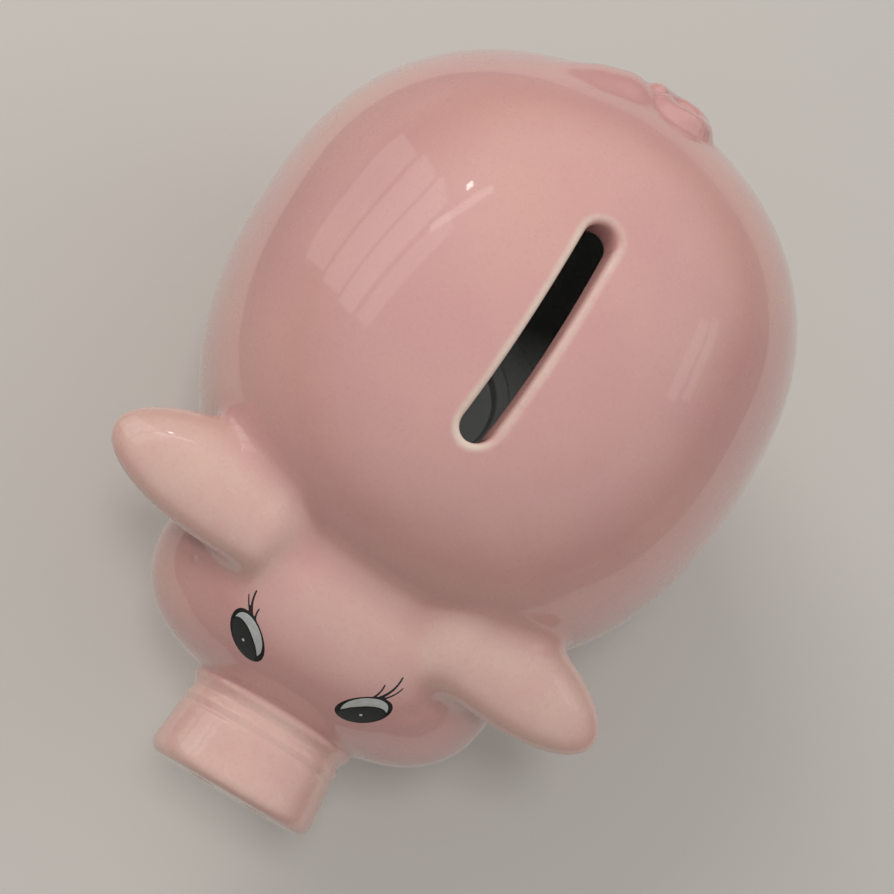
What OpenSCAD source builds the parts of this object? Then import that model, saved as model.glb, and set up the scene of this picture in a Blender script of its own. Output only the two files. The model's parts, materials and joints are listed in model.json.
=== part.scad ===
// Ceramic piggy bank: slip-cast hollow body, luted head, ears, legs and tail,
// printed eyes and a rubber stopper in the belly. Millimetres, +Z up, the head
// faces -Y. The origin is on the floor under the middle of the bounding box.

/* [Body] */
// Half width and half height of the egg-shaped body
body_r = 49.5; // [49:0.5:51]
// Half length of the body along Y
body_half_len = 50; // [49:0.5:52]
// Fullness of the body, 2 for an ellipse and more for blunter ends
body_full = 2.3; // [2.2:0.05:2.4]
// Thickness of the fired clay wall
wall = 5; // [4.5:0.1:5.5]
// Height of the middle of the body above the floor
body_z = 60; // [59:0.5:62]

/* [Head] */
// How far the middle of the head lies ahead of the middle of the body
head_ahead = 49; // [48:0.5:50]
// Height of the middle of the head above the floor
head_z = 57; // [56:0.5:58]
// Half width of the head across the cheeks
cheek_half = 32.5; // [31.5:0.5:34]
// Radius of the head seen from the side
head_r = 25; // [24.5:0.5:26]
// Fullness of the head, 2 for an ellipse and more for blunter cheeks
head_full = 2.4; // [2.2:0.05:2.6]

/* [Snout] */
// Distance from the middle of the body to the flat front of the snout
snout_ahead = 88; // [86:0.5:90]
// Half width of the oval snout
snout_half = 15.4; // [14.5:0.1:16]
// Half height of the oval snout
snout_half_h = 12.8; // [12:0.1:13.5]
// Radius of the narrow ends of the oval snout
snout_end_r = 11; // [10:0.5:11.5]
// Height of the middle of the snout above the floor
snout_z = 54; // [53:0.5:55]
// Radius of one nostril dimple
nostril_r = 2.4; // [2:0.1:3]
// Depth of one nostril dimple
nostril_depth = 2; // [1.5:0.1:3]
// Half the distance between the nostrils
nostril_gap = 5.2; // [4.5:0.1:6]

/* [Ears] */
// Distance from the middle plane to an ear tip
ear_reach = 47.5; // [46:0.5:48]
// Half width of an ear where it leaves the head
ear_half = 10.2; // [9:0.1:11]
// Thickness of an ear as a share of its width
ear_flat = 0.62; // [0.5:0.01:0.8]
// Height of the middle line of the ears above the floor
ear_z = 77; // [76:0.5:78]
// How far the ears lie ahead of the middle of the body
ear_ahead = 48; // [46:0.5:50]
// Radius of the round ear tips
ear_tip_r = 4; // [3.5:0.1:4.5]
// Droop of the ears below the horizontal, in degrees
ear_droop = 10; // [6:1:12]

/* [Tail] */
// Angle of the tail above the horizontal line through the body, in degrees
tail_angle = 36; // [32:1:40]
// Radius of the curl, to the middle of its strand
curl_r = 3.6; // [3.4:0.1:4.5]
// Radius of the strand
tail_r = 2.8; // [2.5:0.1:3.2]
// Length of the straight end beside the curl
tail_len = 20; // [16:1:22]

/* [Legs] */
// Radius of a foot on the floor
foot_r = 11; // [10:0.5:12]
// Radius of a leg where it meets the body
leg_r = 13; // [12:0.5:14]
// Distance of a leg from the middle plane
leg_x = 24; // [22:0.5:26]
// Distance of the front legs ahead of the middle of the body
front_leg_y = 29; // [27:0.5:31]
// Distance of the rear legs behind the middle of the body
rear_leg_y = 29; // [27:0.5:31]

/* [Coin slot] */
// Clear length of the slot
slot_len = 38; // [34:0.5:40]
// Clear width of the slot
slot_w = 5.2; // [4.6:0.1:6]
// How far the middle of the slot lies ahead of the middle of the body
slot_ahead = 8.2; // [6:0.1:10]
// How far the slot lies to the pig's right of the middle plane
slot_side = 1; // [0:0.1:1.5]

/* [Stopper] */
// Radius of the round hole in the belly
hole_r = 14; // [13:0.5:15]
// Depth of the hole through the thick clay ring around it
hole_depth = 6; // [5.5:0.5:7]
// Height of the flat belly face around the hole
belly_z = 13.5; // [13:0.5:14]
// Radial clearance between the stopper and the hole
stopper_gap = 0.08; // [0.05:0.01:0.1]
// Radius of the flange outside the hole
flange_r = 16.5; // [16:0.5:17]
// Thickness of the flange
flange_t = 2.2; // [2:0.1:2.5]
// Depth of the finger grip sunk in the underside of the stopper
grip_depth = 3.5; // [2:0.5:4]

/* [Eyes] */
// Distance of the middle of an eye from the middle plane
eye_x = 11; // [10.5:0.1:12]
// How far the eyes lie ahead of the middle of the head
eye_ahead = 17.2; // [16.5:0.1:18]
// Half length of an eye
eye_half = 4.65; // [4.4:0.05:4.9]
// Half width of an eye
eye_half_w = 3; // [2.8:0.05:3.2]
// Radius of the narrow ends of an eye
eye_end_r = 2.3; // [2.1:0.05:2.5]
// Angle by which the face falls away under an eye, in degrees
eye_tilt = 47; // [44:1:50]
// Angle by which an eye looks outwards, in degrees
eye_turn = 22; // [18:1:26]
// Slant of the long axis of an eye on the face, in degrees
eye_slant = 21; // [15:1:28]
// Width of the dark outline of an eye
eye_line = 0.45; // [0.35:0.05:0.6]
// Width of a lash
lash_w = 0.35; // [0.3:0.05:0.5]
// Thickness of the fired print
print_t = 0.25; // [0.2:0.05:0.3]

/* [Hidden] */
$fn = 96;
// Bare line left around the pale print
print_gap = 0.1;
big = 200;
// The bounding box runs from the snout to the end of the body, so this puts its middle at Y = 0
body_y = (snout_ahead - body_half_len) / 2;
head_y = body_y - head_ahead;
slot_y = body_y - slot_ahead;
ear_y = body_y - ear_ahead;
eye_y = head_y - eye_ahead;
// The legs reach up to where their outer edge meets the body
leg_h = 0.74 * body_z;
// Height of the head skin under the middle of an eye
eye_skin_r = head_r * pow(1 - pow(eye_x / cheek_half, head_full), 1 / head_full);
eye_z = head_z + sqrt(eye_skin_r * eye_skin_r - eye_ahead * eye_ahead);
// The round root of an ear is centred here, inside the head
ear_root_x = 15;
ear_len = ear_reach - ear_root_x;
// Distance from the middle of the body to the skin at tail_angle
rump_cos = pow(cos(tail_angle) / body_half_len, body_full);
rump_sin = pow(sin(tail_angle) / body_r, body_full);
rump_r = pow(rump_cos + rump_sin, -1 / body_full);

glaze = [0.82, 0.63, 0.61];
glaze_pale = [0.86, 0.72, 0.68];
ink = [0.12, 0.12, 0.12];
ink_white = [0.84, 0.86, 0.84];
rubber = [0.93, 0.9, 0.86];

// Radius of the long side arcs that run smoothly into end arcs of radius e
function side_r(a, b, e) = (b * b + (a - e) * (a - e) - e * e) / (2 * (b - e));

// Four-arc oval with half length a along X, half width b along Y and end radius e
module oval(a, b, e) {
    s = side_r(a, b, e);
    // The arcs meet where the line through their centres cuts the oval
    join_x = (a - e) * s / (s - e);
    for (side = [-1, 1]) {
        translate([side * (a - e), 0]) circle(r = e);
    }
    intersection() {
        translate([0, b - s]) circle(r = s);
        translate([0, s - b]) circle(r = s);
        square([2 * join_x, 2 * b + 2], center = true);
    }
}

// Solid of revolution about Z with half length a, radius b and fullness p
module egg(a, b, p) {
    steps = 36;
    rotate_extrude() polygon([
        for (i = [0:steps])
            let (t = 180 * i / steps - 90)
            [b * pow(max(0, cos(t)), 2 / p), a * sign(t) * pow(abs(sin(t)), 2 / p)]
    ]);
}

// Body offset by g from its outer skin
module body_egg(g = 0) {
    translate([0, body_y, body_z]) {
        rotate([90, 0, 0]) egg(body_half_len + g, body_r + g, body_full);
    }
}

// Head offset by g from its outer skin
module head_egg(g = 0) {
    translate([0, head_y, head_z]) {
        rotate([0, 90, 0]) egg(cheek_half + g, head_r + g, head_full);
    }
}

// Everything below the belly face, plus g
module below_belly(g = 0) {
    translate([0, body_y, belly_z - big / 2 + g]) cube(big, center = true);
}

// Stadium-shaped prism of the coin slot
module slot_prism() {
    translate([-slot_side, slot_y, body_z]) {
        linear_extrude(height = body_r + 2) {
            square([slot_w, slot_len - slot_w], center = true);
            for (side = [-1, 1]) {
                translate([0, side * (slot_len - slot_w) / 2]) circle(d = slot_w);
            }
        }
    }
}

// Hollow body with the coin slot, the neck opening and the ring around the belly hole
module body_shell() {
    color(glaze) difference() {
        union() {
            difference() {
                body_egg();
                body_egg(-wall);
                below_belly();
            }
            intersection() {
                body_egg();
                translate([0, body_y, belly_z]) cylinder(h = hole_depth, r = flange_r + 3);
            }
        }
        slot_prism();
        head_egg(-wall);
        translate([0, body_y, belly_z - 1]) cylinder(h = hole_depth + 2, r = hole_r);
    }
}

// Hollow head, open towards the body
module head_shell() {
    color(glaze) difference() {
        head_egg();
        head_egg(-wall);
        body_egg();
    }
}

// Oval snout with two nostril dimples in its flat front
module snout() {
    front_y = body_y - snout_ahead;
    color(glaze_pale) difference() {
        translate([0, head_y, snout_z]) {
            rotate([90, 0, 0]) {
                linear_extrude(height = snout_ahead - head_ahead) {
                    oval(snout_half, snout_half_h, snout_end_r);
                }
            }
        }
        head_egg();
        head_egg(-wall);
        for (side = [-1, 1]) {
            translate([side * nostril_gap, front_y + nostril_depth, snout_z + 1]) {
                rotate([90, 0, 0]) cylinder(h = nostril_depth + 1, r = nostril_r);
            }
        }
    }
}

// Half outline of an ear along Y: round at the root, with an arc down to the round tip
module ear_outline() {
    flank = side_r(ear_len, ear_half, ear_tip_r);
    tip_y = ear_len - ear_tip_r;
    intersection() {
        union() {
            circle(r = ear_half);
            translate([0, tip_y]) circle(r = ear_tip_r);
            intersection() {
                translate([ear_half - flank, 0]) circle(r = flank);
                square([ear_half, tip_y * flank / (flank - ear_tip_r)]);
            }
        }
        translate([0, -ear_half]) square([ear_half + 1, ear_half + ear_len + 1]);
    }
}

// Fat ear that points sideways from the top of the head
module left_ear() {
    color(glaze_pale) difference() {
        translate([ear_root_x, ear_y, ear_z]) {
            rotate([0, 90 + ear_droop, 0]) rotate([0, 0, 90]) {
                scale([1, ear_flat, 1]) rotate_extrude($fn = 180) ear_outline($fn = 180);
            }
        }
        head_egg();
        body_egg();
    }
}

module right_ear() {
    mirror([1, 0, 0]) left_ear();
}

// Curl of the tail in relief on the rump, with its straight end to one side
module tail() {
    color(glaze) difference() {
        translate([0, body_y, body_z]) {
            rotate([tail_angle - 90, 0, 0]) {
                translate([curl_r, 0, rump_r]) {
                    rotate_extrude() translate([curl_r, 0]) circle(r = tail_r);
                    translate([0, -curl_r, 0]) rotate([0, -96, 0]) {
                        cylinder(h = tail_len, r1 = tail_r, r2 = tail_r * 0.8);
                    }
                }
            }
        }
        body_egg();
    }
}

// Stubby leg that stands on the floor under the body
module leg(x, y) {
    color(glaze) difference() {
        translate([x, y, 0]) cylinder(h = leg_h, r1 = foot_r, r2 = leg_r);
        body_egg();
    }
}

module front_left_leg() {
    leg(leg_x, body_y - front_leg_y);
}

module front_right_leg() {
    leg(-leg_x, body_y - front_leg_y);
}

module rear_left_leg() {
    leg(leg_x, body_y + rear_leg_y);
}

module rear_right_leg() {
    leg(-leg_x, body_y + rear_leg_y);
}

// Lays a flat drawing of the left eye on the face and keeps its print thickness
module on_face() {
    difference() {
        intersection() {
            head_egg(print_t);
            translate([eye_x, eye_y, eye_z]) {
                rotate([0, 0, eye_turn]) rotate([eye_tilt, 0, 0]) rotate([0, 0, eye_slant]) {
                    translate([0, 0, -4]) linear_extrude(height = 8) children();
                }
            }
        }
        head_egg();
    }
}

// Oval of the eye, smaller than its outline by g
module eye_oval(g = 0) {
    oval(eye_half - g, eye_half_w - g, eye_end_r - g);
}

// Pale crescent along the upper side of the eye, which curls down at the outer end, smaller by g
module crescent(g = 0) {
    difference() {
        eye_oval(eye_line + g);
        translate([-0.75, -1.45]) eye_oval(eye_line - g);
    }
}

// Lash that starts at p, leaves at angle a and bends upwards over its length
module lash(p, a, length) {
    bend_r = 8;
    translate(p) rotate(a) intersection() {
        translate([0, bend_r]) difference() {
            circle(r = bend_r + lash_w / 2);
            circle(r = bend_r - lash_w / 2);
        }
        translate([0, -lash_w]) square([length, bend_r]);
    }
}

// Dark outline, pupil and lashes of the left eye
module left_eye_print() {
    color(ink) on_face() {
        difference() {
            eye_oval();
            crescent();
        }
        lash([1.9, 2.1], 32, 2.4);
        lash([2.9, 1.8], 18, 3.9);
        lash([3.6, 1.4], 4, 2.9);
    }
}

// Pale part of the left eye
module left_eye_white() {
    color(ink_white) on_face() crescent(print_gap);
}

module right_eye_print() {
    mirror([1, 0, 0]) left_eye_print();
}

module right_eye_white() {
    mirror([1, 0, 0]) left_eye_white();
}

// Rubber stopper with a flange and a finger grip, pushed in from below
module stopper() {
    color(rubber) translate([0, body_y, belly_z]) difference() {
        union() {
            translate([0, 0, -flange_t]) cylinder(h = flange_t, r = flange_r);
            cylinder(h = hole_depth + 1, r = hole_r - stopper_gap);
        }
        translate([0, 0, -flange_t - 1]) {
            difference() {
                cylinder(h = grip_depth + 1, r = hole_r - 4);
                translate([0, 0, grip_depth / 2 + 1]) {
                    cube([2 * hole_r, 3, grip_depth + 2], center = true);
                }
            }
        }
    }
}

body_shell();
head_shell();
snout();
left_ear();
right_ear();
tail();
front_left_leg();
front_right_leg();
rear_left_leg();
rear_right_leg();
left_eye_print();
right_eye_print();
left_eye_white();
right_eye_white();
stopper();
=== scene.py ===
"""Glazed ceramic piggy bank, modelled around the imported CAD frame.

The clay is one smooth distance field: egg body, head, snout, ears, tail and legs, hollowed out
and cut by the coin slot and the belly hole. It is meshed once and then divided into the named
pieces along the creases where a potter joins them, so that the glaze runs over every joint.
Lengths in the shape functions are millimetres in the CAD frame; Blender gets metres.
"""
import json
import math

import bmesh
import bpy
import numpy as np
import openvdb
from mathutils import Matrix, Vector


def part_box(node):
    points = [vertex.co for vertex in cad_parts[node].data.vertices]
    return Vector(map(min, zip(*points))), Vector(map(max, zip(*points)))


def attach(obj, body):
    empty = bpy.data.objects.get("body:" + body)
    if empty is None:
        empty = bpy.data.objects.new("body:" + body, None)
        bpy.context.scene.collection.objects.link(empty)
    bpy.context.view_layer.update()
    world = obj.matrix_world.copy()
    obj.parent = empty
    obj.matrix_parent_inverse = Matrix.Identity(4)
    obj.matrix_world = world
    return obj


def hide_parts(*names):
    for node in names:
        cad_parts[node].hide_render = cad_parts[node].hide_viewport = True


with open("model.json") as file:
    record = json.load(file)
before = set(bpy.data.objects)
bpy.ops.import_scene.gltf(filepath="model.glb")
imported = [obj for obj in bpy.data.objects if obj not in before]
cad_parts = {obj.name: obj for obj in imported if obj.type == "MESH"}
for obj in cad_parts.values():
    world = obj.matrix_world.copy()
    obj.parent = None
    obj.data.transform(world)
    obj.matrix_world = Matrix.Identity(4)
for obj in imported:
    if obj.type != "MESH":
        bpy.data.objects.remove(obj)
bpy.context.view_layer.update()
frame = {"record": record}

MM = 0.001


# ---------------------------------------------------------------- sizes taken from the frame

def box_mm(node):
    """Lowest and highest corner of a CAD node, in millimetres."""
    lo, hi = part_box(node)
    return np.array(lo) / MM, np.array(hi) / MM


body_lo, body_hi = box_mm("body_shell")
head_lo, head_hi = box_mm("head_shell")
snout_lo, snout_hi = box_mm("snout")
ear_hi = box_mm("left_ear")[1]
leg_hi = box_mm("front_left_leg")[1]
plug_lo, plug_hi = box_mm("stopper")
slot_box = next(o for o in frame["record"]["physics"]["openings"] if o["name"] == "coin_slot")

BODY_R = body_hi[0]
BODY_HALF = 50.0
BODY_FULL = 2.3
BODY = np.array([0, body_hi[1] - BODY_HALF, 60.0])
BELLY_Z = body_lo[2]
WALL = 5.0

HEAD_R = (head_hi[2] - head_lo[2]) / 2
HEAD_HALF = head_hi[0]
HEAD = np.array([0, head_lo[1] + HEAD_R, (head_hi[2] + head_lo[2]) / 2])
HEAD_SIDE = -0.35  # head and snout sit a little to the right of the body

SNOUT_FRONT = snout_lo[1]
SNOUT_RX = snout_hi[0]
SNOUT_RZ = (snout_hi[2] - snout_lo[2]) / 2
SNOUT_Z = (snout_hi[2] + snout_lo[2]) / 2

EAR_ROOT = np.array([18.0, BODY[1] - 47.6, 77.2])
EAR_DROOP = math.radians(10)
EAR_SIDE = -1.2
EAR_THICK = 6.0
EAR_POINT = 2.15
EAR_SWEEPS = (0.115, 0.02)  # left ear, right ear, here and in the next two lines
EAR_HALVES = (10.4 - 0.6, 10.4 - 0.2)
EAR_BACKS = (7.0, 5.5)
EAR_LEN = (ear_hi[0] - EAR_ROOT[0] - 0.2) / math.cos(EAR_DROOP)

FOOT_R = 11.0
LEG_R = 13.0
LEG_X = 24.0
LEG_H = leg_hi[2] + 1
LEG_SPREAD = 29.0

SLOT_X = (slot_box["box_m"][0][0] + slot_box["box_m"][1][0]) / 2 / MM
SLOT_Y = (slot_box["box_m"][0][1] + slot_box["box_m"][1][1]) / 2 / MM
SLOT_LEN = 37.4
SLOT_W = 5.2
HOLE_R = 14.0
HOLE_TOP = BELLY_Z + 6

# Widths of the fillets where the pieces meet, and of the rounded edges of the openings
NECK_FILLET = 4.5
LEG_FILLET = 5.0
SNOUT_FILLET = 2.2
EAR_FILLET = 3.3
TAIL_FILLET = 1.6
SLOT_EDGE = 1.6
HOLE_EDGE = 1.2


# ---------------------------------------------------------------- distance field of the clay

def smin(a, b, k):
    """Smooth union with a fillet about k wide."""
    h = np.maximum(k - np.abs(a - b), 0) / k
    return np.minimum(a, b) - h * h * k / 4


def smax(a, b, k):
    """Smooth intersection with a rounding about k wide."""
    return -smin(-a, -b, k)


def egg(p, centre, axis, half, radius, full):
    """Superellipse of revolution about one axis, as an approximate distance."""
    q = p - centre
    others = [i for i in range(3) if i != axis]
    along = np.abs(q[:, axis]) / half + 1e-6
    across = np.hypot(q[:, others[0]], q[:, others[1]]) / radius + 1e-6
    f = (along**full + across**full) ** (1 / full)
    slope = np.hypot(along ** (full - 1) / half, across ** (full - 1) / radius)
    return (f - 1) / (slope * f ** (1 - full))


def ellipsoid(p, centre, radii):
    """Ellipsoid, as an approximate distance."""
    q = (p - np.asarray(centre)) / radii
    f = np.linalg.norm(q, axis=1) + 1e-6
    return (f - 1) * f / (np.linalg.norm(q / radii, axis=1) + 1e-6)


def mirrored(p):
    """The same points with X folded onto the left side."""
    q = p.copy()
    q[:, 0] = np.abs(q[:, 0])
    return q


def body_skin(p):
    """Body: an egg whose rear is blunter than its front."""
    middle = BODY + (0.1, 4.4, 0)
    half = np.where(p[:, 1] > middle[1], 45.2, 58.0)
    return egg(p, middle, 1, half, BODY_R - 0.2, BODY_FULL)


def head_skin(p):
    """Head with a brow and two round cheeks that stand further forward."""
    q = p - (HEAD_SIDE, 0, 0)
    head = egg(q, HEAD, 0, HEAD_HALF - 2.5, HEAD_R, 2.3)
    cheeks = ellipsoid(mirrored(q), HEAD + (18.3, -7.2, -3.0), (13.4, 13.2, 14.5))
    return smin(head, cheeks, 6.0)


# Distance from the front, width and height of each ridge or groove
THROWING_MARKS = [
    (14.6, 0.8, 0.044),
    (12.8, 0.5, -0.014),
    (11.3, 0.45, 0.010),
    (10.0, 0.4, -0.010),
]


def snout_skin(p):
    """Oval tube that flares a little, with faint throwing rings and a rounded front edge."""
    reach = p[:, 1] - SNOUT_FRONT
    rings = 0.0016 * np.sin(reach * (2 * math.pi / 2.7)) * np.clip(reach / 5 - 0.8, 0, 1)
    for place, wide, high in THROWING_MARKS:
        rings = rings + high * np.exp(-(((reach - place) / wide) ** 2))
    flare = 1 - 0.085 * np.clip(reach / 15, 0, 1.4) + rings
    side = p[:, 0] - HEAD_SIDE
    q = np.stack([side / (SNOUT_RX * flare), (p[:, 2] - SNOUT_Z) / (SNOUT_RZ * flare)], axis=1)
    f = np.linalg.norm(q, axis=1) + 1e-6
    side = (f - 1) * f / (np.linalg.norm(q / (SNOUT_RX, SNOUT_RZ), axis=1) + 1e-6)
    end = np.maximum(-reach, reach - 34)
    edge = 2.4
    inside = np.minimum(np.maximum(side + edge, end + edge), 0)
    outside = np.hypot(np.maximum(side + edge, 0), np.maximum(end + edge, 0))
    return inside + outside - edge


def ear_skin(p):
    """Fat ear that points sideways and droops a little, both ears at once."""
    side = p[:, 0] - EAR_SIDE
    q = np.stack([np.abs(side), p[:, 1], p[:, 2]], axis=1) - EAR_ROOT
    q[:, 1] += np.where(side > 0, *EAR_SWEEPS) * np.maximum(q[:, 0], 0)
    half = np.where(side > 0, *EAR_HALVES)
    root = np.where(side > 0, *EAR_BACKS)
    along = q[:, 0] * math.cos(EAR_DROOP) - q[:, 2] * math.sin(EAR_DROOP)
    up = q[:, 0] * math.sin(EAR_DROOP) + q[:, 2] * math.cos(EAR_DROOP)
    t = np.maximum(along, 0) / EAR_LEN
    back = np.minimum(along, 0) / root
    f = t**EAR_POINT + (q[:, 1] / half) ** 2 + (up / EAR_THICK) ** 2 + back**2
    slope = np.sqrt(
        (EAR_POINT * t ** (EAR_POINT - 1) / EAR_LEN + 2 * np.abs(back) / root) ** 2
        + (2 * q[:, 1] / half**2) ** 2
        + (2 * up / EAR_THICK**2) ** 2
    )
    return (f - 1) / (slope + 0.02)


def from_leg_axis(p):
    """Distance to the upright axis of the nearest leg."""
    return np.hypot(np.abs(p[:, 0]) - LEG_X, np.abs(p[:, 1] - BODY[1]) - LEG_SPREAD)


def leg_skin(p):
    """Stubby tapered legs with a rounded foot, all four at once."""
    radial = from_leg_axis(p)
    dish = np.hypot(radial, p[:, 2] + 46) - 46.8
    side = radial - (FOOT_R + (LEG_R - FOOT_R) * p[:, 2] / LEG_H)
    end = np.maximum(-p[:, 2], p[:, 2] - LEG_H + 6)
    edge = 1.6
    inside = np.minimum(np.maximum(side + edge, end + edge), 0)
    outside = np.hypot(np.maximum(side + edge, 0), np.maximum(end + edge, 0))
    return smax(inside + outside - edge, -dish, 0.5)


TAIL_ANGLE = math.radians(39)
TAIL_OUT = np.array([0, math.cos(TAIL_ANGLE), math.sin(TAIL_ANGLE)])
TAIL_DOWN = np.array([0, math.sin(TAIL_ANGLE), -math.cos(TAIL_ANGLE)])


def on_rump(strokes):
    """Puts rows of across, down, radius and height above the skin on the rump."""
    rows = np.array(strokes)
    points = BODY + rows[:, :1] * np.array([1.0, 0, 0]) + rows[:, 1:2] * TAIL_DOWN + 52 * TAIL_OUT
    for _ in range(8):
        normals = skin_normals(body_skin, points)
        points = points - body_skin(points)[:, None] * normals
    return points + normals * (rows[:, 3] - rows[:, 2])[:, None], rows[:, 2]


def tail_path():
    """The tail on the rump: a broad flat end, then one tight lumpy turn."""
    end = [(-19, -2.0, 4.0, -0.2), (-15.5, -1.6, 7.0, 0.9), (-11.5, -0.8, 9.0, 1.8)]
    end += [(-8.0, 0.0, 9.0, 2.2), (-5.5, 0.4, 7.0, 1.8)]
    turns = np.linspace(0, 1, 24)
    angle = np.radians(190 + 320 * turns)
    ring_r = 4.3 - 1.0 * turns
    thick = 2.7 + 0.4 * np.cos(3 * angle) - 0.4 * turns
    height = thick - 0.1 - 0.6 * np.cos(3 * angle)
    ring = np.stack(
        [1.6 + 1.1 * ring_r * np.cos(angle), 0.2 - ring_r * np.sin(angle), thick, height], axis=1
    )
    return [on_rump(end), on_rump(ring)]


def chain(q, points, radii):
    """Distance to round strokes along a path."""
    best = np.full(len(q), 30.0)
    for a, b, ra, rb in zip(points[:-1], points[1:], radii[:-1], radii[1:]):
        line = b - a
        t = np.clip((q - a) @ line / (line @ line), 0, 1)
        gap = np.linalg.norm(q - a - t[:, None] * line, axis=1) - (ra + (rb - ra) * t)
        best = np.minimum(best, gap)
    return best


def tail_skin(p):
    """The tail's strokes, measured only near the tail."""
    d = np.full(len(p), 30.0)
    near = np.linalg.norm(p - TAIL_MIDDLE, axis=1) < 27
    end, turn = (chain(p[near], *path) for path in TAIL)
    d[near] = smin(end, turn, 0.8)
    return d


def slot_void(p):
    """Coin slot, cut by hand so that its walls lean a little."""
    deep = body_hi[2] - p[:, 2]
    side = np.maximum(np.abs(p[:, 1] - SLOT_Y - 0.3 + 0.15 * deep) - (SLOT_LEN - SLOT_W) / 2, 0)
    across = p[:, 0] - SLOT_X + 0.17 * deep
    return np.maximum(np.hypot(across, side) - SLOT_W / 2, BODY[2] + 15 - p[:, 2])


# Across, along, height, width and depth of the dents in the head
DIMPLES = [
    (-25.7, -59.5, 67.8, 1.5, 0.45),
    (18.5, -59.2, 74.4, 2.2, 0.35),
    (16.2, -62.6, 73.0, 1.6, 0.3),
]


def base_skin(p):
    """Body and head as one skin, with the flat belly face."""
    body = smax(body_skin(p), BELLY_Z - p[:, 2], 3.0)
    head = head_skin(p)
    for x, y, z, wide, deep in DIMPLES:
        far = ((p - (x, BODY[1] + y, z)) ** 2).sum(axis=1)
        head = head + deep * np.exp(-far / wide**2)
    return smin(body, head, NECK_FILLET)


def hollow(p):
    """The coin chamber and the hollow of the head, less the thick ring around the belly hole."""
    body = egg(p, BODY, 1, BODY_HALF - WALL, BODY_R - WALL, BODY_FULL)
    head = egg(p, HEAD, 0, HEAD_HALF - WALL, HEAD_R - WALL, 2.4)
    ring = np.maximum(p[:, 2] - HOLE_TOP, np.hypot(p[:, 0], p[:, 1] - BODY[1]) - HOLE_R - 5.5)
    return smax(smin(body, head, 3.0), -ring, 1.5)


def outside_skin(p):
    """Everything a hand can touch from outside, before the slot and the holes are cut."""
    f = smin(base_skin(p), leg_skin(p), LEG_FILLET)
    f = smin(f, snout_skin(p), SNOUT_FILLET)
    f = smin(f, ear_skin(p), EAR_FILLET)
    return smin(f, tail_skin(p), TAIL_FILLET)


def solid_clay(p):
    """Outside of the clay with its openings cut, as if the inside were filled."""
    f = smax(outside_skin(p), -slot_void(p), SLOT_EDGE)
    hole = np.maximum(np.hypot(p[:, 0], p[:, 1] - BODY[1]) - HOLE_R, p[:, 2] - HOLE_TOP - 8)
    f = smax(f, -hole, HOLE_EDGE)
    nostril = ellipsoid(mirrored(p), (5.2, SNOUT_FRONT - 0.2, SNOUT_Z + 1), (2.3, 2.2, 3.0))
    return smax(f, -nostril, HOLE_EDGE)


def clay(p):
    """Distance to the surface of the fired clay."""
    return smax(solid_clay(p), -hollow(p), 1.0)


def skin_normals(f, p, step=0.05):
    """Unit gradient of a distance field."""
    n = np.empty_like(p)
    for i in range(3):
        shift = np.zeros(3)
        shift[i] = step
        n[:, i] = f(p + shift) - f(p - shift)
    return n / (np.linalg.norm(n, axis=1, keepdims=True) + 1e-12)


TAIL = tail_path()
TAIL_MIDDLE = TAIL[0][0][-1]


# ---------------------------------------------------------------- meshing

def mesh_field(f, lo, hi, step):
    """Quad mesh of the zero surface of f in a box."""
    axes = [np.arange(a, b + step, step) for a, b in zip(lo, hi)]
    shape = [len(a) for a in axes]
    grid = np.stack(np.meshgrid(*axes, indexing="ij"), axis=-1).reshape(-1, 3)
    values = np.concatenate([f(part) for part in np.array_split(grid, 12)])
    volume = openvdb.FloatGrid(30.0)
    volume.copyFromArray(values.reshape(shape).astype(np.float32))
    points, quads = volume.convertToQuads(isovalue=0.0)
    return points.astype(float) * step + np.array(lo), quads


def settle(points, f, rounds=4):
    """Moves points onto the zero surface of f."""
    for _ in range(rounds):
        n = skin_normals(f, points)
        move = np.clip(f(points), -0.6, 0.6)
        points = points - n * move[:, None]
    return points


def to_mesh(name, points, faces):
    """Blender mesh in metres from points in millimetres."""
    mesh = bpy.data.meshes.new(name)
    mesh.from_pydata((points * MM).tolist(), [], faces.tolist())
    mesh.update()
    return mesh


def get_points(mesh):
    """Vertices of a mesh in millimetres."""
    flat = np.empty(len(mesh.vertices) * 3)
    mesh.vertices.foreach_get("co", flat)
    return flat.reshape(-1, 3) / MM


def set_points(mesh, points):
    mesh.vertices.foreach_set("co", (points * MM).ravel())
    mesh.update()


def without_folds(points, faces):
    """Merges points that lie on each other and drops the folded faces that this leaves."""
    points, same = np.unique(np.round(points, 4), axis=0, return_inverse=True)
    faces = same.reshape(-1)[faces]
    if faces.shape[1] == 4:
        faces = np.concatenate([faces[:, :3], faces[:, (0, 2, 3)]])
    ordered = np.sort(faces, axis=1)
    keep = (np.diff(ordered, axis=1) > 0).all(axis=1)
    faces, ordered = faces[keep], ordered[keep]
    _, kind, count = np.unique(ordered, axis=0, return_inverse=True, return_counts=True)
    faces = faces[count[kind.reshape(-1)] == 1]
    used, faces = np.unique(faces, return_inverse=True)
    return points[used], faces.reshape(-1, 3)


def cleaned(mesh):
    """The same mesh as triangles, without folded faces."""
    bm = bmesh.new()
    bm.from_mesh(mesh)
    bmesh.ops.triangulate(bm, faces=bm.faces[:])
    bm.to_mesh(mesh)
    bm.free()
    corners = np.empty(len(mesh.loops), dtype=int)
    mesh.loops.foreach_get("vertex_index", corners)
    return to_mesh(mesh.name, *without_folds(get_points(mesh), corners.reshape(-1, 3)))


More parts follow.
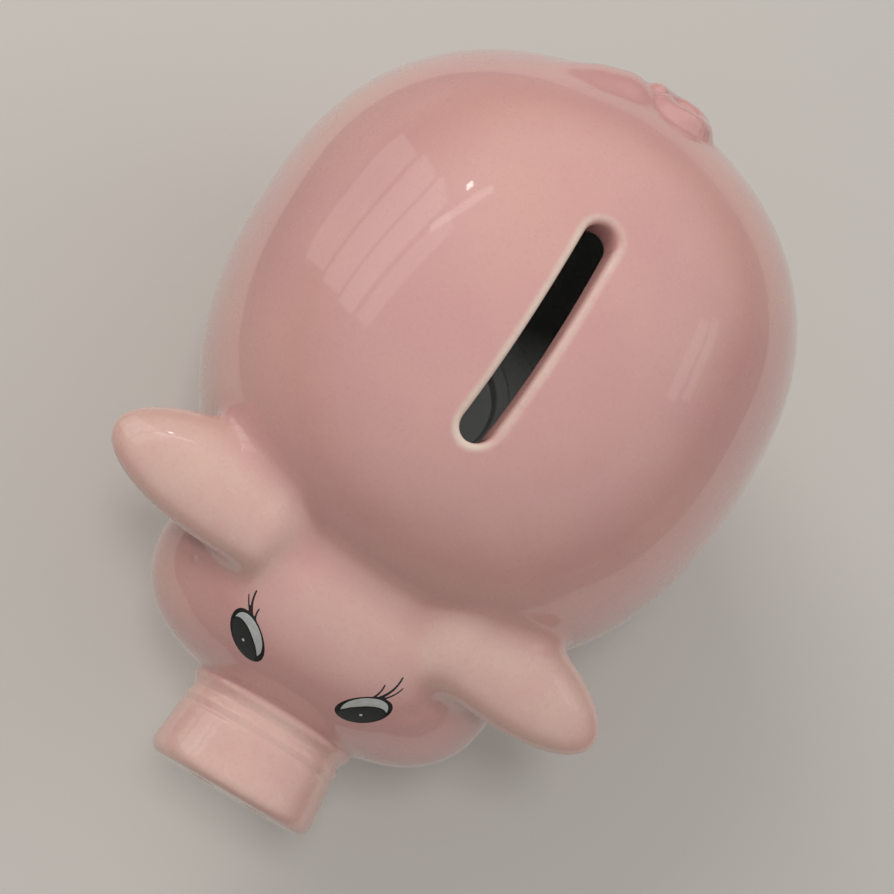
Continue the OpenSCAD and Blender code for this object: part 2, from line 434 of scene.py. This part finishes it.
def refine(mesh, f, rounds, turn, shortest):
    """Splits edges over which the surface turns by more than turn degrees, then settles."""
    for _ in range(rounds):
        points = get_points(mesh)
        n = skin_normals(f, points)
        bm = bmesh.new()
        bm.from_mesh(mesh)
        bmesh.ops.triangulate(bm, faces=bm.faces[:])
        bm.verts.ensure_lookup_table()
        pairs = np.array([[e.verts[0].index, e.verts[1].index] for e in bm.edges])
        length = np.linalg.norm(points[pairs[:, 0]] - points[pairs[:, 1]], axis=1)
        cos_turn = (n[pairs[:, 0]] * n[pairs[:, 1]]).sum(axis=1)
        pick = (cos_turn < math.cos(math.radians(turn))) & (length > shortest)
        bm.edges.ensure_lookup_table()
        edges = [bm.edges[i] for i in np.nonzero(pick)[0]]
        bmesh.ops.subdivide_edges(bm, edges=edges, cuts=1)
        bmesh.ops.triangulate(bm, faces=[face for face in bm.faces if len(face.verts) > 3])
        bm.to_mesh(mesh)
        bm.free()
        set_points(mesh, settle(get_points(mesh), f, 3))
    return mesh


def boolean(mesh, cutter, operation):
    """Mesh of the intersection or difference of two closed meshes."""
    a = bpy.data.objects.new("boolean_a", mesh)
    b = bpy.data.objects.new("boolean_b", cutter)
    for obj in (a, b):
        bpy.context.scene.collection.objects.link(obj)
    mod = a.modifiers.new("cut", "BOOLEAN")
    mod.operation = operation
    mod.solver = "MANIFOLD"
    mod.object = b
    bpy.context.view_layer.update()
    graph = bpy.context.evaluated_depsgraph_get()
    result = bpy.data.meshes.new_from_object(a.evaluated_get(graph))
    bpy.data.objects.remove(a)
    bpy.data.objects.remove(b)
    return result


def split_off(mesh, part, lo, hi, step=1.0):
    """Divides a mesh into the part where part(p) is negative, inside a box, and the rest."""
    lo = np.array(lo, float)
    hi = np.array(hi, float)

    def cutter_field(p):
        walls = np.maximum(lo + 1.5 - p, p - hi + 1.5).max(axis=1)
        return np.maximum(part(p), walls)

    points, quads = mesh_field(cutter_field, lo, hi, step)
    cutter = to_mesh("cutter", points, quads)
    return boolean(mesh, cutter, "INTERSECT"), boolean(mesh, cutter, "DIFFERENCE")


SEAM_DEPTH = 1.5


def joined_part(skin, rest):
    """Field of an added part: where it stands proud of the rest, less what lies deep inside."""
    return lambda p: np.maximum(skin(p) - rest(p), -SEAM_DEPTH - rest(p))


def add_attribute(mesh, name, values):
    layer = mesh.attributes.new(name, "FLOAT", "POINT")
    layer.data.foreach_set("value", np.asarray(values, np.float32))


def bend(f, points, reach):
    """Curvature of the surface at one scale: positive on edges, negative in creases."""
    total = np.zeros(len(points))
    for i in range(3):
        for sign in (-1, 1):
            shift = np.zeros(3)
            shift[i] = sign * reach
            total = total + np.clip(f(points + shift), -reach, reach)
    return total / reach


def use_field_normals(mesh, f, reach):
    """Shades the faces that lie on the surface of f by its gradient, and the others flat."""
    count = len(mesh.polygons)
    centres = np.empty(count * 3)
    flat_n = np.empty(count * 3)
    totals = np.empty(count, dtype=int)
    loops = np.empty(len(mesh.loops), dtype=int)
    mesh.polygons.foreach_get("center", centres)
    mesh.polygons.foreach_get("normal", flat_n)
    mesh.polygons.foreach_get("loop_total", totals)
    mesh.loops.foreach_get("vertex_index", loops)
    centres = centres.reshape(-1, 3) / MM
    flat_n = flat_n.reshape(-1, 3)
    level = skin_normals(f, centres)
    on_skin = (np.abs(f(centres)) < reach) & ((level * flat_n).sum(axis=1) > 0.6)
    smooth = skin_normals(f, get_points(mesh))[loops]
    flat = np.repeat(flat_n, totals, axis=0)
    corner = np.where(np.repeat(on_skin, totals)[:, None], smooth, flat)
    mesh.polygons.foreach_set("use_smooth", [True] * count)
    mesh.normals_split_custom_set(corner.tolist())
    return centres, on_skin


def show(name, mesh, body, node, materials):
    """Adds a piece to the scene in place of a CAD node."""
    mesh.name = name
    mesh.materials.clear()
    for material in materials:
        mesh.materials.append(material)
    obj = bpy.data.objects.new(name, mesh)
    bpy.context.scene.collection.objects.link(obj)
    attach(obj, body)
    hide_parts(node)
    return obj


# ---------------------------------------------------------------- materials

def new_material(name):
    material = bpy.data.materials.new(name)
    material.use_nodes = True
    material.node_tree.nodes.clear()
    return material, material.node_tree


def add(tree, kind, inputs=None, **settings):
    """Adds a node; inputs are constants or sockets to link."""
    node = tree.nodes.new(kind)
    for key, value in settings.items():
        setattr(node, key, value)
    for key, value in (inputs or {}).items():
        if isinstance(value, bpy.types.NodeSocket):
            tree.links.new(value, node.inputs[key])
        else:
            node.inputs[key].default_value = value
    return node


def maths(tree, operation, a, b=0.0, c=0.0):
    node = add(tree, "ShaderNodeMath", operation=operation)
    for i, value in enumerate((a, b, c)):
        if isinstance(value, bpy.types.NodeSocket):
            tree.links.new(value, node.inputs[i])
        else:
            node.inputs[i].default_value = value
    return node.outputs[0]


def ramp(tree, value, low, high, to_low=0.0, to_high=1.0):
    node = add(
        tree,
        "ShaderNodeMapRange",
        {"Value": value, "From Min": low, "From Max": high, "To Min": to_low, "To Max": to_high},
        interpolation_type="SMOOTHSTEP",
    )
    return node.outputs["Result"]


def mix(tree, share, a, b, blend_type="MIX"):
    node = add(tree, "ShaderNodeMix", data_type="RGBA", blend_type=blend_type)
    for key, value in ((0, share), (6, a), (7, b)):
        if isinstance(value, bpy.types.NodeSocket):
            tree.links.new(value, node.inputs[key])
        else:
            node.inputs[key].default_value = value
    return node.outputs[2]


def noise(tree, place, scale, detail=3.0, rough=0.5):
    node = add(
        tree,
        "ShaderNodeTexNoise",
        {"Vector": place, "Scale": scale, "Detail": detail, "Roughness": rough},
    )
    return node.outputs["Fac"]


def attribute(tree, name):
    return add(tree, "ShaderNodeAttribute", attribute_name=name).outputs["Fac"]


def object_place(tree):
    """Object coordinates in metres; each piece's origin is the frame's origin."""
    return add(tree, "ShaderNodeTexCoord").outputs["Object"]


def close(tree, shader, bump):
    """Gives the shader its bump and joins it to the material output."""
    tree.links.new(bump, shader.inputs["Normal"])
    add(tree, "ShaderNodeOutputMaterial", {"Surface": shader.outputs[0]})


PINK = (0.632, 0.328, 0.310, 1)
PINK_WARM = (0.665, 0.368, 0.322, 1)
PINK_DEEP = (0.520, 0.215, 0.215, 1)
CREAM = (0.760, 0.625, 0.520, 1)
PEACH = (0.690, 0.452, 0.380, 1)


def glaze_material():
    """Pink transparent glaze over pale clay: thin and cream on edges, deep in the creases, with a
    painted highlight that makes the forehead paler.
    """
    material, tree = new_material("pink_glaze")
    place = object_place(tree)
    clouds = noise(tree, place, 38.0, 3.0)
    colour = mix(tree, ramp(tree, clouds, 0.32, 0.70), PINK, PINK_WARM)
    # pale and thin hold the paler glaze of the ears and snout, and a painted highlight on the
    # forehead where the head top faces the light
    pale = attribute(tree, "pale")
    streaks = noise(tree, place, 120.0, 4.0, 0.6)
    thin = maths(tree, "MULTIPLY", pale, ramp(tree, streaks, 0.2, 0.75, 0.45, 1.0))
    colour = mix(tree, thin, colour, PEACH)
    deep = ramp(tree, attribute(tree, "broad_bend"), 0.05, -1.3, 0.0, 0.55)
    colour = mix(tree, deep, colour, PINK_DEEP)
    edge_noise = noise(tree, place, 260.0, 3.0)
    edge = maths(tree, "ADD", attribute(tree, "bend"), maths(tree, "MULTIPLY", edge_noise, 0.25))
    colour = mix(tree, ramp(tree, edge, 0.42, 1.15, 0.0, 0.92), colour, CREAM)
    speckle = noise(tree, place, 1500.0, 2.0, 0.7)
    colour = mix(tree, ramp(tree, speckle, 0.50, 0.72, 0.0, 0.16), colour, PINK_DEEP)
    pits = add(tree, "ShaderNodeTexVoronoi", {"Vector": place, "Scale": 62.0, "Randomness": 1.0})
    rare = add(tree, "ShaderNodeSeparateColor", {"Color": pits.outputs["Color"]}).outputs["Red"]
    spot = maths(
        tree,
        "MULTIPLY",
        ramp(tree, pits.outputs["Distance"], 0.030, 0.012),
        ramp(tree, rare, 0.86, 0.90),
    )
    colour = mix(tree, maths(tree, "MULTIPLY", spot, 0.75), colour, (0.16, 0.09, 0.08, 1))
    peel = noise(tree, place, 170.0, 2.0)
    grain = noise(tree, place, 900.0, 2.0)
    peel = maths(tree, "MULTIPLY", peel, 0.5)
    height = maths(tree, "ADD", peel, maths(tree, "MULTIPLY", grain, 0.08))
    height = maths(tree, "SUBTRACT", height, maths(tree, "MULTIPLY", spot, 1.2))
    bump = add(tree, "ShaderNodeBump", {"Height": height, "Strength": 0.25, "Distance": 0.00007})
    rough = ramp(tree, streaks, 0.3, 0.7, 0.22, 0.30)
    shader = add(
        tree,
        "ShaderNodeBsdfPrincipled",
        {
            "Base Color": colour,
            "Roughness": rough,
            "Specular IOR Level": 0.45,
            "Coat Weight": 1.0,
            "Coat Roughness": 0.045,
            "Coat IOR": 1.66,
        },
    )
    wave = noise(tree, place, 48.0, 1.0)
    fine = add(tree, "ShaderNodeBump", {"Height": wave, "Strength": 0.15, "Distance": 0.00012})
    tree.links.new(fine.outputs[0], shader.inputs["Coat Normal"])
    close(tree, shader, bump.outputs[0])
    return material


def bisque_material():
    """Bare fired clay of the inside and of the foot rings."""
    material, tree = new_material("bare_clay")
    place = object_place(tree)
    tone = noise(tree, place, 90.0, 5.0)
    colour = mix(tree, tone, (0.58, 0.60, 0.59, 1), (0.74, 0.755, 0.745, 1))
    specks = ramp(tree, noise(tree, place, 1300.0, 2.0, 0.8), 0.60, 0.72, 0.0, 0.5)
    colour = mix(tree, specks, colour, (0.36, 0.31, 0.27, 1))
    grain = noise(tree, place, 700.0, 6.0, 0.7)
    bump = add(tree, "ShaderNodeBump", {"Height": grain, "Strength": 0.5, "Distance": 0.0003})
    shader = add(
        tree,
        "ShaderNodeBsdfPrincipled",
        {"Base Color": colour, "Roughness": ramp(tree, grain, 0.3, 0.7, 0.75, 0.95)},
    )
    shader.inputs["Specular IOR Level"].default_value = 0.25
    close(tree, shader, bump.outputs[0])
    return material


def print_material(name, dark, light, wear):
    """Transfer print under a thin clear glaze."""
    material, tree = new_material(name)
    place = object_place(tree)
    tone = noise(tree, place, 900.0, 3.0)
    core = attribute(tree, "core")
    colour = mix(tree, core, dark, light)
    colour = mix(tree, ramp(tree, tone, 0.35, 0.75, 0.0, wear), colour, light)
    wave = noise(tree, place, 300.0, 2.0)
    bump = add(tree, "ShaderNodeBump", {"Height": wave, "Strength": 0.2, "Distance": 0.0001})
    shader = add(
        tree,
        "ShaderNodeBsdfPrincipled",
        {
            "Base Color": colour,
            "Roughness": ramp(tree, tone, 0.3, 0.7, 0.28, 0.40),
            "Specular IOR Level": 0.35,
            "Coat Weight": 0.6,
            "Coat Roughness": 0.05,
        },
    )
    close(tree, shader, bump.outputs[0])
    return material


def rubber_material():
    """Soft matt rubber of the stopper."""
    material, tree = new_material("stopper_rubber")
    place = object_place(tree)
    tone = noise(tree, place, 140.0, 4.0)
    colour = mix(tree, tone, (0.62, 0.63, 0.61, 1), (0.73, 0.74, 0.725, 1))
    dust = ramp(tree, noise(tree, place, 1100.0, 4.0, 0.8), 0.62, 0.75, 0.0, 0.30)
    colour = mix(tree, dust, colour, (0.46, 0.455, 0.44, 1))
    grain = noise(tree, place, 1600.0, 4.0, 0.7)
    bump = add(tree, "ShaderNodeBump", {"Height": grain, "Strength": 0.35, "Distance": 0.00015})
    shader = add(
        tree,
        "ShaderNodeBsdfPrincipled",
        {"Base Color": colour, "Roughness": ramp(tree, tone, 0.3, 0.7, 0.50, 0.68)},
    )
    shader.inputs["Specular IOR Level"].default_value = 0.4
    close(tree, shader, bump.outputs[0])
    return material


glaze = glaze_material()
bisque = bisque_material()
dark_print = print_material(
    "dark_print", (0.010, 0.008, 0.007, 1), (0.028, 0.031, 0.028, 1), 0.25
)
pale_print = print_material("pale_print", (0.44, 0.45, 0.43, 1), (0.54, 0.55, 0.53, 1), 0.6)
rubber = rubber_material()


# ---------------------------------------------------------------- the clay, whole and divided

STEP = 1.15
points, quads = mesh_field(
    clay, (-BODY_R - 3, SNOUT_FRONT - 3, -3), (BODY_R + 3, body_hi[1] + 3, body_hi[2] + 3), STEP
)
whole = to_mesh("whole", settle(points, clay), quads)
refine(whole, clay, 3, 13.0, 0.28)


def divided(mesh, names, skin, lo, hi):
    """Splits off one part, or a left and right pair, and returns the pieces and what is left."""
    lo = np.array(lo, float)
    hi = np.array(hi, float)
    cuts = []
    for name in names:
        box = (lo, hi)
        if "right" in name:
            box = (lo * (-1, 1, 1), hi * (-1, 1, 1))
            box = (np.minimum(*box), np.maximum(*box))
        piece, mesh = split_off(mesh, joined_part(skin, base_skin), *box)
        cuts.append((name, piece))
    return cuts, mesh


FRONT_LEG_Y = BODY[1] - LEG_SPREAD
REAR_LEG_Y = BODY[1] + LEG_SPREAD
# Names, skin and the box around each added part, or around the left one of a pair
ADDED_PARTS = [
    (
        ("left_ear", "right_ear"), ear_skin,
        (3.0, EAR_ROOT[1] - 16, 60.0), (BODY_R + 4, EAR_ROOT[1] + 16, 92.0),
    ),
    (
        ("snout",), snout_skin,
        (-24.0, SNOUT_FRONT - 4, 34.0), (24.0, SNOUT_FRONT + 30, 74.0),
    ),
    (
        ("tail",), tail_skin,
        (-24.0, 46.0, 66.0), (24.0, body_hi[1] + 4, 106.0),
    ),
    (
        ("front_left_leg", "front_right_leg"), leg_skin,
        (4.0, FRONT_LEG_Y - 20, -4.0), (44.0, FRONT_LEG_Y + 20, 48.0),
    ),
    (
        ("rear_left_leg", "rear_right_leg"), leg_skin,
        (4.0, REAR_LEG_Y - 20, -4.0), (44.0, REAR_LEG_Y + 20, 48.0),
    ),
]
clay_pieces = []
for names, skin, lo, hi in ADDED_PARTS:
    cuts, whole = divided(whole, names, skin, lo, hi)
    clay_pieces += cuts
head_piece, body_piece = split_off(
    whole,
    lambda p: head_skin(p) - body_skin(p),
    (-HEAD_HALF - 8, head_lo[1] - 6, head_lo[2] - 8),
    (HEAD_HALF + 8, BODY[1] - 20, head_hi[2] + 10),
)
clay_pieces += [("head_shell", head_piece), ("body_shell", body_piece)]

for name, mesh in clay_pieces:
    mesh = cleaned(mesh)
    points = get_points(mesh)
    base = base_skin(points)
    sharp = {"tail": 0.6, "snout": 0.55}.get(name, 1.0)
    add_attribute(mesh, "bend", sharp * bend(solid_clay, points, 1.1))
    add_attribute(mesh, "broad_bend", sharp * bend(solid_clay, points, 4.0))
    ears = np.clip(0.75 - 0.25 * (ear_skin(points) - base), 0, 1)
    nose = np.clip(0.70 - 0.25 * (snout_skin(points) - base), 0, 1)
    # Painted highlight: the forehead is made paler where the head top faces up into the light;
    # the ears and snout are paler glaze
    brow = ((points - HEAD) / (13, 9, 14) - (0, -0.8, 1.4)) ** 2
    brow = 0.85 * np.exp(-brow.sum(axis=1))
    add_attribute(mesh, "pale", np.clip(ears + nose + brow, 0, 1))
    centres, on_skin = use_field_normals(mesh, clay, 0.15)
    bare = hollow(centres) < 0.6
    bare |= centres[:, 2] < np.where(from_leg_axis(centres) < FOOT_R - 2, 1.0, 0.35)
    slot = "pale_glaze" if name == "snout" or "ear" in name else "pink_glaze"
    show(name, mesh, "bank", name, [glaze, bisque])
    mesh.polygons.foreach_set("material_index", bare.astype(np.int32))


# ---------------------------------------------------------------- printed eyes

EYE_SIDE = -1.6
EYE_X = 10.96
EYE_Y = BODY[1] - 66.24
EYE_Z = 73.5
EYE_AXIS = np.array([0.76, 0.55, 0.34])


def bezier(a, b, c, count=10):
    """Points along a quadratic curve."""
    t = np.linspace(0, 1, count)[:, None]
    a, b, c = (np.array(v) for v in (a, b, c))
    return (1 - t) ** 2 * a + 2 * t * (1 - t) * b + t**2 * c


def stroke(q, points, thick, thin):
    """Distance to a tapering painted stroke."""
    widths = np.linspace(thick, thin, len(points))
    best = np.full(len(q), 9.0)
    for a, b, wa, wb in zip(points[:-1], points[1:], widths[:-1], widths[1:]):
        line = b - a
        t = np.clip((q - a) @ line / (line @ line), 0, 1)
        gap = np.linalg.norm(q - a - t[:, None] * line, axis=1) - (wa + (wb - wa) * t)
        best = np.minimum(best, gap)
    return best


def oval(q, centre, half, up, down, full=2.0):
    """Distance to an oval whose upper and lower halves differ."""
    s = q - np.array(centre)
    radii = np.stack([np.full(len(q), half), np.where(s[:, 1] > 0, up, down)], axis=1)
    s = np.abs(s) / radii + 1e-6
    f = (s**full).sum(axis=1) ** (1 / full)
    return (f - 1) / (np.linalg.norm(s ** (full - 1) / radii, axis=1) * f ** (1 - full))


LEFT_LASHES = [
    (((2.1, 2.40), (3.35, 3.05), (4.1, 4.25)), 0.20, 0.13),
    (((2.9, 2.10), (5.5, 2.70), (7.0, 4.80)), 0.27, 0.15),
    (((3.5, 1.75), (5.5, 1.95), (6.75, 2.90)), 0.18, 0.11),
]
RIGHT_LASHES = [
    (((2.3, 2.10), (3.35, 2.45), (4.05, 3.30)), 0.20, 0.13),
    (((3.1, 1.80), (5.3, 2.05), (6.90, 3.45)), 0.27, 0.15),
    (((3.5, 1.60), (5.3, 1.65), (6.60, 2.05)), 0.18, 0.11),
]


def eye_outline(q, lashes):
    """Dark print: the oval of the eye with three lashes."""
    d = oval(q, (0.0, 0.0), 4.68, 2.72, 3.05)
    for curve, thick, thin in lashes:
        d = smin(d, stroke(q, bezier(*curve), thick, thin), 0.25)
    return d


def eye_pupil(q):
    """Dark oval that the crescent is cut by."""
    return oval(q, (-0.75, -1.25), 4.15, 2.1, 1.7, 2.2)


def eye_pale(q, _lashes):
    """Pale print: the crescent above the pupil and the small light in it."""
    crescent = np.maximum(oval(q, (0.15, 0.05), 3.85, 2.42, 2.45), -eye_pupil(q))
    glint = oval(q, (-0.6, -1.05), 0.28, 0.25, 0.25)
    return np.minimum(crescent, glint)


def eye_plate(shape, level, sign):
    """Thin printed layer that follows the face; sign is 1 for the left eye, -1 for the right."""
    seed = np.array([[sign * EYE_X + EYE_SIDE, EYE_Y, EYE_Z]])
    centre = settle(seed, clay, 8)[0]
    normal = skin_normals(clay, centre[None], 0.8)[0]
    axis = EYE_AXIS * (sign, 1, 1)
    across = axis - normal * (axis @ normal)
    across = across / np.linalg.norm(across)
    up = sign * np.cross(normal, across)
    turn = np.stack([across, up, normal])
    lashes = LEFT_LASHES if sign > 0 else RIGHT_LASHES

    def field(q):
        skin = clay(centre + q @ turn)
        return smax(shape(q[:, :2], lashes), np.abs(skin + 0.12 - level) - 0.12, 0.06)

    plate, quads = mesh_field(field, (-5.6, -4.2, -3.4), (7.8, 5.2, 1.8), 0.10)
    plate, faces = without_folds(settle(plate, field, 3), quads)
    core = np.clip(-eye_pupil(plate[:, :2]) / 0.3 - 0.4, 0, 1)
    return centre + plate @ turn, faces[:, ::sign], core


for shape, level, kind, slot, ink in (
    (eye_outline, 0.04, "eye_print", "dark_print", dark_print),
    (eye_pale, 0.07, "eye_white", "pale_print", pale_print),
):
    for side, sign in (("left", 1), ("right", -1)):
        points, quads, core = eye_plate(shape, level, sign)
        mesh = to_mesh(side, points, quads)
        add_attribute(mesh, "core", core)
        use_field_normals(mesh, clay, 0.11)
        show(side + "_" + kind, mesh, "bank", side + "_" + kind, [ink])


# ---------------------------------------------------------------- rubber stopper

PLUG = (plug_lo + plug_hi) / 2
FLANGE_T = BELLY_Z - plug_lo[2]


def stopper(p):
    """Flanged plug with two sealing ribs and a finger grip sunk into its face."""
    radial = np.hypot(p[:, 0] - PLUG[0], p[:, 1] - PLUG[1])
    up = p[:, 2] - plug_lo[2]
    flange = np.maximum(radial - plug_hi[0], np.abs(up - FLANGE_T / 2) - FLANGE_T / 2 + 0.02)
    ribs = 0.35 * np.maximum(np.cos((up - FLANGE_T) * 2 * math.pi / 3.1), -0.2)
    length = plug_hi[2] - plug_lo[2]
    plug = np.maximum(radial - (HOLE_R - 0.55) - ribs, np.abs(up - length / 2) - length / 2)
    f = smin(smax(flange, -up, 0.8), plug, 0.4)
    recess = np.maximum(radial - (HOLE_R - 4), up - 3.5)
    bar = smax(np.abs(p[:, 1] - PLUG[1]) - 1.5, 0.3 - up, 0.6)
    f = smax(f, -smax(recess, -bar, 0.5), 0.8)
    hollow_top = np.maximum(radial - (HOLE_R - 3), 5.4 - up)
    return smax(f, -hollow_top, 0.8)


points, quads = mesh_field(stopper, plug_lo - 1.5, plug_hi + 1.5, 0.5)
plug_mesh = to_mesh("stopper", settle(points, stopper), quads)
plug_mesh = cleaned(refine(plug_mesh, stopper, 1, 20.0, 0.2))
use_field_normals(plug_mesh, stopper, 0.15)
show("stopper", plug_mesh, "stopper", "stopper", [rubber])


# ---------------------------------------------------------------- floor, light and camera

def panel(name, place, target, size, power, colour, mirrored_in_glaze):
    """Rectangular light at a place, facing a target."""
    light = bpy.data.lights.new(name, "AREA")
    light.shape = "RECTANGLE"
    light.size, light.size_y = size
    light.energy = power
    light.color = colour
    obj = bpy.data.objects.new(name, light)
    obj.location = place
    obj.rotation_euler = (Vector(target) - Vector(place)).to_track_quat("-Z", "Y").to_euler()
    obj.visible_glossy = mirrored_in_glaze
    bpy.context.scene.collection.objects.link(obj)
    return obj


AIM = Vector((0.001, (BODY[1] - 18.9) * MM, BODY[2] * MM))
VIEW_AZ, VIEW_EL, VIEW_ROLL = (math.radians(a) for a in (-25.0, 73.5, 56.8))
VIEW_DISTANCE = 0.300
VIEW_LENS = 69.8

back = Vector(
    (
        math.sin(VIEW_AZ) * math.cos(VIEW_EL),
        -math.cos(VIEW_AZ) * math.cos(VIEW_EL),
        math.sin(VIEW_EL),
    )
)
level_right = (-back).cross(Vector((0, 0, 1))).normalized()
level_up = level_right.cross(-back)
cam_x = math.cos(VIEW_ROLL) * level_right + math.sin(VIEW_ROLL) * level_up
cam_y = -math.sin(VIEW_ROLL) * level_right + math.cos(VIEW_ROLL) * level_up
camera = bpy.data.objects.new("camera", bpy.data.cameras.new("camera"))
camera.data.sensor_width = 36
camera.data.lens = VIEW_LENS
camera.data.clip_start = 0.01
camera.matrix_world = Matrix.Translation(AIM + VIEW_DISTANCE * back) @ (
    Matrix((cam_x, cam_y, back)).transposed().to_4x4()
)
bpy.context.scene.collection.objects.link(camera)
bpy.context.scene.camera = camera


def floor_material(name, colour, shade):
    """Matt floor with a faint unevenness of tone."""
    material, tree = new_material(name)
    place = object_place(tree)
    tone = mix(tree, noise(tree, place, 6.0, 4.0), colour, shade)
    grain = noise(tree, place, 500.0, 3.0)
    bump = add(tree, "ShaderNodeBump", {"Height": grain, "Strength": 0.1, "Distance": 0.0002})
    shader = add(tree, "ShaderNodeBsdfPrincipled", {"Base Color": tone, "Roughness": 0.8})
    shader.inputs["Specular IOR Level"].default_value = 0.2
    close(tree, shader, bump.outputs[0])
    return material


def slab(name, low, high, z, material):
    """Flat rectangle around the middle of the body."""
    mesh = bpy.data.meshes.new(name)
    (x0, y0), (x1, y1) = low, high
    corners = [(x0, y0, 0), (x1, y0, 0), (x1, y1, 0), (x0, y1, 0)]
    mesh.from_pydata(corners, [], [(0, 1, 2, 3)])
    mesh.materials.append(material)
    obj = bpy.data.objects.new(name, mesh)
    obj.location = (0, BODY[1] * MM, z)
    bpy.context.scene.collection.objects.link(obj)
    return obj


slab(
    "floor_mat", (-0.150, -0.200), (0.360, 0.800), -0.0002,
    floor_material("pale_mat", (0.585, 0.56, 0.52, 1), (0.555, 0.53, 0.49, 1)),
)
slab(
    "floor_table", (-3.0, -3.0), (3.0, 3.0), -0.0012,
    floor_material("table", (0.25, 0.24, 0.225, 1), (0.22, 0.21, 0.197, 1)),
)

world = bpy.data.worlds.new("studio")
world.use_nodes = True
sky = world.node_tree
sky.nodes.clear()
height = add(
    sky, "ShaderNodeSeparateXYZ", {"Vector": add(sky, "ShaderNodeTexCoord").outputs["Generated"]}
).outputs["Z"]
tone = mix(sky, ramp(sky, height, 0.0, 0.55), (0.10, 0.097, 0.093, 1), (0.80, 0.79, 0.78, 1))
glow = add(sky, "ShaderNodeBackground", {"Color": tone, "Strength": 0.59})
add(sky, "ShaderNodeOutputWorld", {"Surface": glow.outputs[0]})
bpy.context.scene.world = world

WINDOW_SIDE = Vector((-0.92, 0.16, 0.35))
WINDOW_DISTANCE = 0.62
DAYLIGHT = (1.0, 0.985, 0.96)
toward_window = (WINDOW_SIDE - back * WINDOW_SIDE.dot(back)).normalized()
along_window = back.cross(toward_window)


def pane(name, turn, side, size, radiance, tilt=0.0):
    """Window pane turned away from the view direction, then sideways around it, in degrees."""
    turn, side, tilt = math.radians(turn), math.radians(side), math.radians(tilt)
    outward = math.cos(side) * toward_window + math.sin(side) * along_window
    place = AIM + WINDOW_DISTANCE * (math.cos(turn) * back + math.sin(turn) * outward)
    power = radiance * math.pi * size[0] * size[1]
    light = panel(name, place, AIM, size, power, DAYLIGHT, True)
    ahead = (AIM - place).normalized()
    across = (along_window - ahead * along_window.dot(ahead)).normalized()
    across = math.cos(tilt) * across + math.sin(tilt) * (-ahead).cross(across)
    light.matrix_world = Matrix.Translation(place) @ (
        Matrix((across, (-ahead).cross(across), -ahead)).transposed().to_4x4()
    )


pane("window_0", 84, 0, (0.30, 0.150), 0.55)
pane("window_1", 70, 0, (0.34, 0.115), 0.62)
pane("window_2", 59, 0, (0.37, 0.095), 0.62)
pane("window_3", 49, 0, (0.36, 0.075), 0.50)
pane("window_4", 52, -24, (0.17, 0.026), 1.1, -22)
pane("lamp", 56, -26, (0.018, 0.018), 9.0)
pane("side_window_0", 73, -136, (0.16, 0.050), 0.40)
pane("side_window_1", 79, -136, (0.16, 0.040), 0.40)

TOP_DIRECTION = Vector((-0.125, -0.03, 0.99))
panel("key", AIM + Vector((-0.48, 0.30, 0.54)), AIM, (0.35, 0.35), 2.05, (1.0, 0.98, 0.96), False)
panel("top", AIM + 0.9 * TOP_DIRECTION, AIM, (0.14, 0.14), 1.7, (1.0, 0.99, 0.98), False)
panel("fill", AIM + Vector((0.55, 0.25, 0.45)), AIM, (0.5, 0.5), 0.75, (0.97, 0.98, 1.0), False)

bpy.context.scene.view_settings.view_transform = "Standard"
